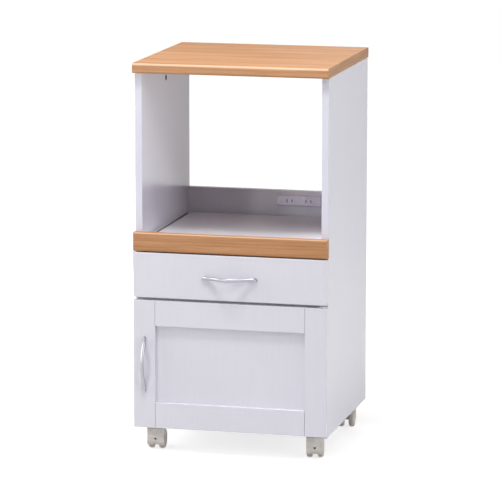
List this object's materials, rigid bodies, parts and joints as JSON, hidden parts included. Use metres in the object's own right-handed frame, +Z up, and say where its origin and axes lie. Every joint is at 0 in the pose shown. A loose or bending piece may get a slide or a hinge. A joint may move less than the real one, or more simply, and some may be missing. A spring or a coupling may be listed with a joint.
{
  "type": "kitchen counter cabinet",
  "caption": "White kitchen counter cabinet on casters with a wood-grain top, an open oven bay with a sliding shelf, a drawer and a framed door.",
  "frame": {"origin": "on the floor below the middle of the bounding box", "axes": "+Z up, +X to the right of someone facing the fronts, -Y out of the fronts"},
  "size_m": [0.48, 0.487, 0.955],
  "materials": {
    "white_board": "white melamine-faced board, satin",
    "beech_board": "beech-grain melamine, satin",
    "dowel_wood": "raw beech dowel",
    "satin_metal": "satin silver plating on die-cast zinc",
    "white_steel": "white epoxy-coated steel sheet",
    "zinc_steel": "bright zinc plating",
    "dark_zinc": "dark die-cast zinc",
    "white_plastic": "white moulded plastic",
    "roller_nylon": "natural nylon",
    "caster_plastic": "warm grey moulded plastic"
  },
  "bodies": {
    "carcass": {"left_side_panel": "white_board", "right_side_panel": "white_board", "bottom_board": "white_board", "middle_board": "white_board", "front_cross_rail": "white_board", "rear_socket_rail": "white_board", "back_panel": "white_board", "adjustable_shelf": "white_board", "worktop": "beech_board", "carcass_dowels": "dowel_wood", "shelf_rails": "white_steel", "drawer_rails": "white_steel", "hinge_plates": "white_steel", "shelf_pins": "zinc_steel", "cam_bolts": "zinc_steel", "carcass_screws": "zinc_steel", "caster_plates": "zinc_steel", "caster_screws": "zinc_steel", "cam_locks": "dark_zinc", "socket_housing": "white_plastic", "socket_outlets": "white_plastic", "magnetic_catch": "white_plastic"},
    "sliding_shelf": {"shelf_board": "white_board", "shelf_front": "beech_board", "shelf_runners": "white_steel"},
    "drawer": {"drawer_front": "white_board", "drawer_left_side": "white_board", "drawer_right_side": "white_board", "drawer_back": "white_board", "drawer_bottom": "white_board", "drawer_handle": "satin_metal", "drawer_handle_screws": "zinc_steel", "drawer_runners": "white_steel"},
    "door": {"door_left_stile": "white_board", "door_right_stile": "white_board", "door_top_rail": "white_board", "door_bottom_rail": "white_board", "door_panel": "white_board", "door_handle": "satin_metal", "door_handle_screws": "zinc_steel", "catch_strike": "zinc_steel"},
    "shelf_front_roller_pair": {"shelf_front_rollers": "roller_nylon"},
    "shelf_rear_roller_pair": {"shelf_rear_rollers": "roller_nylon"},
    "drawer_front_roller_pair": {"drawer_front_rollers": "roller_nylon"},
    "drawer_rear_roller_pair": {"drawer_rear_rollers": "roller_nylon"},
    "caster_front_left": {"caster_hood_front_left": "caster_plastic"},
    "left_wheel_front_left": {"caster_left_wheel_front_left": "caster_plastic"},
    "right_wheel_front_left": {"caster_right_wheel_front_left": "caster_plastic"},
    "caster_front_right": {"caster_hood_front_right": "caster_plastic"},
    "left_wheel_front_right": {"caster_left_wheel_front_right": "caster_plastic"},
    "right_wheel_front_right": {"caster_right_wheel_front_right": "caster_plastic"},
    "caster_rear_left": {"caster_hood_rear_left": "caster_plastic"},
    "left_wheel_rear_left": {"caster_left_wheel_rear_left": "caster_plastic"},
    "right_wheel_rear_left": {"caster_right_wheel_rear_left": "caster_plastic"},
    "caster_rear_right": {"caster_hood_rear_right": "caster_plastic"},
    "left_wheel_rear_right": {"caster_left_wheel_rear_right": "caster_plastic"},
    "right_wheel_rear_right": {"caster_right_wheel_rear_right": "caster_plastic"}
  },
  "joints": [
    {"name": "shelf_slide", "type": "slide", "parent": "carcass", "child": "sliding_shelf", "axis": [0, -1, 0], "range_m": [0, 0.29]},
    {"name": "drawer_slide", "type": "slide", "parent": "carcass", "child": "drawer", "axis": [0, -1, 0], "range_m": [0, 0.29]},
    {"name": "door_hinge", "type": "hinge", "parent": "carcass", "child": "door", "pos_m": [0.234, -0.20951, 0.224], "axis": [0, 0, 1], "range_deg": [0, 110]},
    {"name": "shelf_front_roller_spin", "type": "hinge", "parent": "carcass", "child": "shelf_front_roller_pair", "pos_m": [0, -0.17849, 0.5144], "axis": [1, 0, 0], "continuous": true},
    {"name": "shelf_rear_roller_spin", "type": "hinge", "parent": "sliding_shelf", "child": "shelf_rear_roller_pair", "pos_m": [0, 0.19051, 0.5144], "axis": [1, 0, 0], "continuous": true},
    {"name": "drawer_front_roller_spin", "type": "hinge", "parent": "carcass", "child": "drawer_front_roller_pair", "pos_m": [0, -0.17849, 0.4089], "axis": [1, 0, 0], "continuous": true},
    {"name": "drawer_rear_roller_spin", "type": "hinge", "parent": "drawer", "child": "drawer_rear_roller_pair", "pos_m": [0, 0.19051, 0.4089], "axis": [1, 0, 0], "continuous": true},
    {"name": "front_left_swivel", "type": "hinge", "parent": "carcass", "child": "caster_front_left", "pos_m": [-0.199, -0.15899, 0.0585], "axis": [0, 0, 1], "continuous": true},
    {"name": "left_wheel_front_left_spin", "type": "hinge", "parent": "caster_front_left", "child": "left_wheel_front_left", "pos_m": [-0.2141, -0.14449, 0.025], "axis": [0.9945, 0.1045, 0], "continuous": true},
    {"name": "right_wheel_front_left_spin", "type": "hinge", "parent": "caster_front_left", "child": "right_wheel_front_left", "pos_m": [-0.18725, -0.14167, 0.025], "axis": [0.9945, 0.1045, 0], "continuous": true},
    {"name": "front_right_swivel", "type": "hinge", "parent": "carcass", "child": "caster_front_right", "pos_m": [0.199, -0.15899, 0.0585], "axis": [0, 0, 1], "continuous": true},
    {"name": "left_wheel_front_right_spin", "type": "hinge", "parent": "caster_front_right", "child": "left_wheel_front_right", "pos_m": [0.18293, -0.14558, 0.025], "axis": [0.9848, 0.1736, 0], "continuous": true},
    {"name": "right_wheel_front_right_spin", "type": "hinge", "parent": "caster_front_right", "child": "right_wheel_front_right", "pos_m": [0.20952, -0.14089, 0.025], "axis": [0.9848, 0.1736, 0], "continuous": true},
    {"name": "rear_left_swivel", "type": "hinge", "parent": "carcass", "child": "caster_rear_left", "pos_m": [-0.199, 0.20701, 0.0585], "axis": [0, 0, 1], "continuous": true},
    {"name": "left_wheel_rear_left_spin", "type": "hinge", "parent": "caster_rear_left", "child": "left_wheel_rear_left", "pos_m": [-0.18084, 0.19659, 0.025], "axis": [-0.9397, -0.342, 0], "continuous": true},
    {"name": "right_wheel_rear_left_spin", "type": "hinge", "parent": "caster_rear_left", "child": "right_wheel_rear_left", "pos_m": [-0.20621, 0.18736, 0.025], "axis": [-0.9397, -0.342, 0], "continuous": true},
    {"name": "rear_right_swivel", "type": "hinge", "parent": "carcass", "child": "caster_rear_right", "pos_m": [0.199, 0.20701, 0.0585], "axis": [0, 0, 1], "continuous": true},
    {"name": "left_wheel_rear_right_spin", "type": "hinge", "parent": "caster_rear_right", "child": "left_wheel_rear_right", "pos_m": [0.2146, 0.19304, 0.025], "axis": [-0.9903, -0.1392, 0], "continuous": true},
    {"name": "right_wheel_rear_right_spin", "type": "hinge", "parent": "caster_rear_right", "child": "right_wheel_rear_right", "pos_m": [0.18786, 0.18929, 0.025], "axis": [-0.9903, -0.1392, 0], "continuous": true}
  ],
  "couplings": [
    {"joint": "shelf_front_roller_spin", "follows": "shelf_slide", "rad_per_m": 133.33},
    {"joint": "shelf_rear_roller_spin", "follows": "shelf_slide", "rad_per_m": 133.33},
    {"joint": "drawer_front_roller_spin", "follows": "drawer_slide", "rad_per_m": 133.33},
    {"joint": "drawer_rear_roller_spin", "follows": "drawer_slide", "rad_per_m": 133.33}
  ]
}
